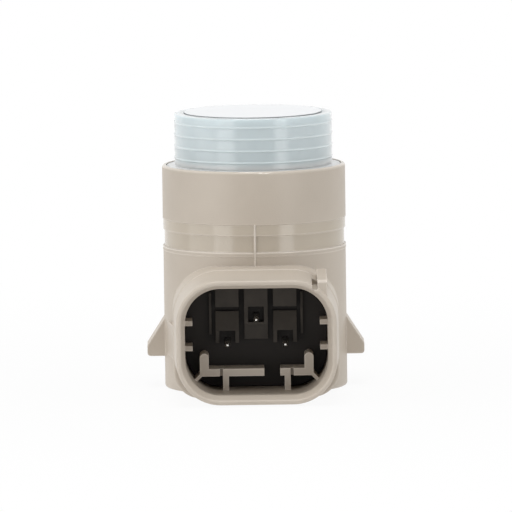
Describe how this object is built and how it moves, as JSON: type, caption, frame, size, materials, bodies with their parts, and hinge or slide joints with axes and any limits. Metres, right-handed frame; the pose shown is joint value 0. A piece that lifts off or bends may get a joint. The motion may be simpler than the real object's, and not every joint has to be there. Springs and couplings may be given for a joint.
{
  "type": "parking sensor",
  "caption": "Ultrasonic parking sensor with a round barrel, a ribbed silicone ring round its sounding face, snap barbs and a side plug socket with pins.",
  "frame": {"origin": "middle of the barrel's flat base, on the barrel's axis", "axes": "+Z along the barrel's axis towards the sounding face, -Y out of the plug socket, +X to the right seen from the socket"},
  "size_m": [0.0262, 0.034, 0.0331],
  "materials": {
    "moulding": "satin beige moulded plastic",
    "silicone": "translucent pale silicone",
    "cup": "white painted aluminium",
    "piezo": "silvered ceramic",
    "foam": "dark foam",
    "filling": "grey silicone",
    "wire": "enamelled copper wire",
    "board": "green solder resist",
    "component": "black component body",
    "ferrite": "dark ferrite",
    "can": "bare aluminium can",
    "dielectric": "brown ceramic",
    "carrier": "black moulded plastic",
    "terminal": "tinned brass"
  },
  "bodies": {
    "root": {"housing": "moulding", "base_cover": "moulding", "decoupling_ring": "silicone", "membrane_cup": "cup", "piezo_disc": "piezo", "damping_pad": "foam", "cup_filler": "filling", "piezo_lead_signal": "wire", "piezo_lead_ground": "wire", "circuit_board": "board", "transformer_base": "component", "transformer_core": "ferrite", "transformer_winding": "wire", "driver_chip": "component", "buffer_capacitor": "can", "ceramic_capacitors": "dielectric", "chip_resistors": "component", "terminal_carrier": "carrier", "terminal_left": "terminal", "terminal_centre": "terminal", "terminal_right": "terminal"}
  },
  "joints": []
}
